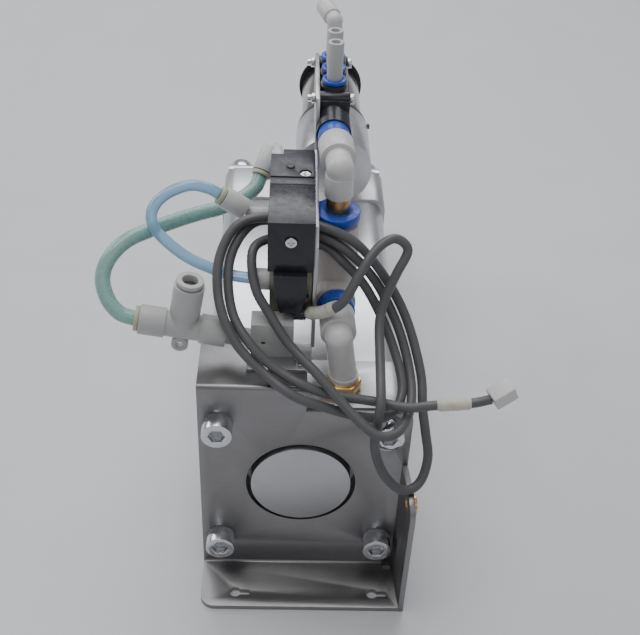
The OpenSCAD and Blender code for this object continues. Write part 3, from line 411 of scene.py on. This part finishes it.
SUPPLY_ROUTE = [
    (-24, 110, 204), (-26, 106, 200.5), (-29, 100, 196.5), (-36, 92, 194.5), (-46, 84, 193.5),
    (-57, 78, 193.5), (-68, 71, 193.5), (-81, 62, 193), (-93, 53, 191.5), (-101, 45, 186),
    (-104, 38, 178.5), (-101, 31, 170.5), (-95, 27, 165), (-88, 26, 162.8), (-80, 26, 161.4)]
PILOT_ROUTE = [
    (-42, 70, 207.8), (-46, 70, 210.5), (-51, 70, 213.5), (-60, 69, 216), (-70, 66, 214),
    (-77, 62, 210), (-80, 58, 204.5), (-78, 54, 199), (-72, 50, 194), (-61, 46, 187),
    (-48, 43.5, 182), (-38, 42.3, 179.2), (-29, 42, 178), (-24, 42, 177.8)]
LEAD_ROUTE = [
    (0, 30, 165), (8, 25, 170), (18, 23, 178), (27, 32, 191), (35, 41, 199), (44, 46, 202),
    (51, 45, 196), (46, 39, 186), (41, 34, 175), (38, 27, 164), (38, 12, 154), (38, -11, 144),
    (37, -16, 134), (37, -15, 113), (43, -18, 97), (53, -21, 89), (62, -17, 91), (66, -9, 101),
    (64, -3, 114), (62, 4, 125), (61, 18, 137), (53.5, 36, 157), (41.5, 45, 177),
    (25, 48.5, 196.5), (8, 52, 203.8), (-8, 58, 203.5), (-26, 58, 204.5), (-38, 52, 201),
    (-45, 40, 189), (-44, 26, 174), (-36, 13, 160), (-22, 4, 148), (-6, -6, 141), (11, -7, 134),
    (30, -7, 128), (44, -5, 128), (51, 9, 134), (45, 30, 149), (32, 43.5, 171), (18.5, 47.3, 186),
    (8, 52.8, 191.8), (-8, 56, 194), (-21, 54, 194), (-28, 44.5, 192.5), (-26, 31, 180),
    (-18, 23.7, 168), (-8, 14, 157), (5, 2, 150), (19, -10, 140), (31, -20, 133), (40, -23, 130),
    (49, -17, 130), (55, 0, 131), (55, 18, 138), (48.5, 35, 154.5), (36, 45, 175.5),
    (21.5, 47.5, 191.5), (8, 52.3, 197.8), (-8, 61, 199), (-25, 62, 200), (-35, 52, 196),
    (-40, 40, 185), (-37.5, 25.5, 168.5), (-27.5, 11.5, 158.5), (-15, 5, 149), (0, -2, 144),
    (15, -3, 139), (36, -5, 137), (52, -9, 137), (66, -8, 138), (84, -8, 140), (94, -8, 143)]


def hose(name, node, route, radius, per_span, sides):
    path = through(route, per_span)
    bm = bmesh.new()
    add_sweep(bm, path, [radius] * len(path), sides)
    obj = mesh_object(name, bm, 50)
    finish_piece(obj, node_body[node], node_slot[node], [node])
    return obj, path


def crumpled_sleeve(name, stations, radius, seed):
    """Shrunk sleeve with wrinkles round the lead, thinner at its ends."""
    path = through(stations, 14)
    last = len(path) - 1
    radii = []
    for i in range(last + 1):
        end = min(i, last - i) / 3
        ripple = noise.noise(Vector((i * 0.55, seed, 0.3)))
        radii.append(radius + 0.35 * ripple - 0.5 * max(0.0, 1 - end))
    bm = bmesh.new()
    add_sweep(bm, path, radii, 28)
    bm.normal_update()
    for v in bm.verts:
        v.co += v.normal * noise.noise(v.co * 520 + Vector((seed, 0, 0))) * 0.22 * MM
    return mesh_object(name, bm, 60)


LEAD_RADIUS, SUPPLY_RADIUS, PILOT_RADIUS = 2.5, 4, 3        # millimetres
lead, lead_path = hose("lead_cable", "lead", LEAD_ROUTE, LEAD_RADIUS, 6, 20)
supply, supply_path = hose("supply_hose", "supply_tube", SUPPLY_ROUTE, SUPPLY_RADIUS, 8, 28)
pilot, pilot_path = hose("pilot_hose", "pilot_tube", PILOT_ROUTE, PILOT_RADIUS, 8, 28)
exit_sleeve = crumpled_sleeve("exit_sleeve", [(1, 29, 166), (8, 25, 170), (14, 23, 175)], 3.4, 3.0)
plug_sleeve = crumpled_sleeve("plug_sleeve", [(67, -8, 138), (76, -8, 139), (84, -8, 140)], 3.2, 8.0)
finish_piece(exit_sleeve, "frame", "sleeve_cream", ["lead_sleeves"])
finish_piece(plug_sleeve, "frame", "sleeve_cream", ["lead_sleeves"])
plug_shell = refined("lead_plug", 0.5)


# ---------------------------------------------------------------- CAD nodes with rounded edges

EDGES = {
    "mounting_bracket": 0.5, "side_insert": 0.3, "bracket_screws": 0.9, "rear_cap": 0.7,
    "barrel": 0.6, "front_cap": 0.7, "tie_rods": 0.3, "support_foot": 0.6, "support_screws": 0.5,
    "gripper_housing": 0.7, "housing_screws": 0.3, "side_covers": 0.4, "base_jaw_left": 0.5,
    "base_jaw_right": 0.5, "finger_left": 0.7, "finger_right": 0.7, "finger_screws_left": 0.3,
    "finger_screws_right": 0.3, "finger_pad_left": 0.4, "finger_pad_right": 0.4,
    "ejector_rear_head": 0.6, "ejector_tube": 0.3, "ejector_front_head": 0.6, "ejector_band": 0.3,
    "ejector_rod": 0.4, "pusher_plate": 0.6, "valve_plate": 0.3, "valve_body": 0.5,
    "solenoid_housing": 0.7, "pilot_housing": 0.7, "override_button": 0.3, "valve_screws": 0.25,
    "valve_connector": 0.6, "valve_base": 0.6, "valve_fittings": 0.5, "release_collars": 0.3,
    "tee_body": 0.5, "tee_collar": 0.3, "brass_hex": 0.5, "lower_elbow": 0.6, "union_elbow": 0.6,
    "upper_elbow": 0.6, "manifold": 0.6, "manifold_collars": 0.5, "manifold_plugs": 0.4,
    "manifold_elbow": 0.4, "manifold_screws": 0.3,
}
for node, edge in EDGES.items():
    refined(node, edge)
for node, obj in frame["nodes"].items():
    obj.data.materials.clear()
    obj.data.materials.append(LOOKS[node_slot[node]])


# ---------------------------------------------------------------- small turned parts over the CAD shapes

def turned_piece(name, body, slot, start, direction, profile, soften=0.3):
    bm = bmesh.new()
    add_turned(bm, start, direction, round_step(profile, soften), 48)
    return finish_piece(mesh_object(name, bm, 30), body, slot)


turned_piece("elbow_stub_ring", "frame", "bronze", (15.3, 65.6, 206.1), (0, 0, 1),
             [(0, 6.0), (0, 6.35), (8.5, 6.35), (8.5, 6.0)])


# ---------------------------------------------------------------- floor and light

def make_floor():
    """A round pale table top."""
    bm = bmesh.new()
    bmesh.ops.create_circle(bm, cap_ends=True, segments=96, radius=4.0)
    floor = mesh_object("floor", bm)
    s = Surface("table", (0.62, 0.625, 0.65), 0.4)
    s.vary_rough(s.noise(60, 4), 0.36, 0.46)
    s.bump(s.noise(0.6, 3), 0.01)
    s.tint(s.noise(120, 3), (0.60, 0.605, 0.635), 0.5)
    floor.data.materials.append(s.material)


def area_light(name, at, target, size, watts, colour=(1, 1, 1)):
    data = bpy.data.lights.new(name, "AREA")
    data.shape = "RECTANGLE"
    data.size, data.size_y = size
    data.energy = watts
    data.color = colour
    light = bpy.data.objects.new(name, data)
    light.location = at
    light.rotation_euler = (Vector(target) - Vector(at)).to_track_quat("-Z", "Y").to_euler()
    bpy.context.collection.objects.link(light)


make_floor()
area_light("ceiling", (-0.3, 0.3, 2.2), (0, 0.1, 0.1), (1.8, 1.4), 26, (1.0, 0.99, 0.97))
area_light("back_top", (0.1, 2.2, 1.9), (0, 0.1, 0.15), (2.2, 1.3), 30, (0.97, 0.98, 1.0))
area_light("back_left", (-1.6, 1.2, 1.3), (0, 0.1, 0.15), (1.0, 1.0), 12, (0.95, 0.97, 1.0))
area_light("front_fill", (0.6, -1.6, 1.5), (0, 0.1, 0.1), (1.4, 1.0), 3, (1.0, 0.98, 0.95))
world = bpy.data.worlds.new("studio")
world.use_nodes = True
world.node_tree.nodes["Background"].inputs["Color"].default_value = (0.78, 0.80, 0.84, 1)
world.node_tree.nodes["Background"].inputs["Strength"].default_value = 0.42
bpy.context.scene.world = world

bpy.context.view_layer.update()
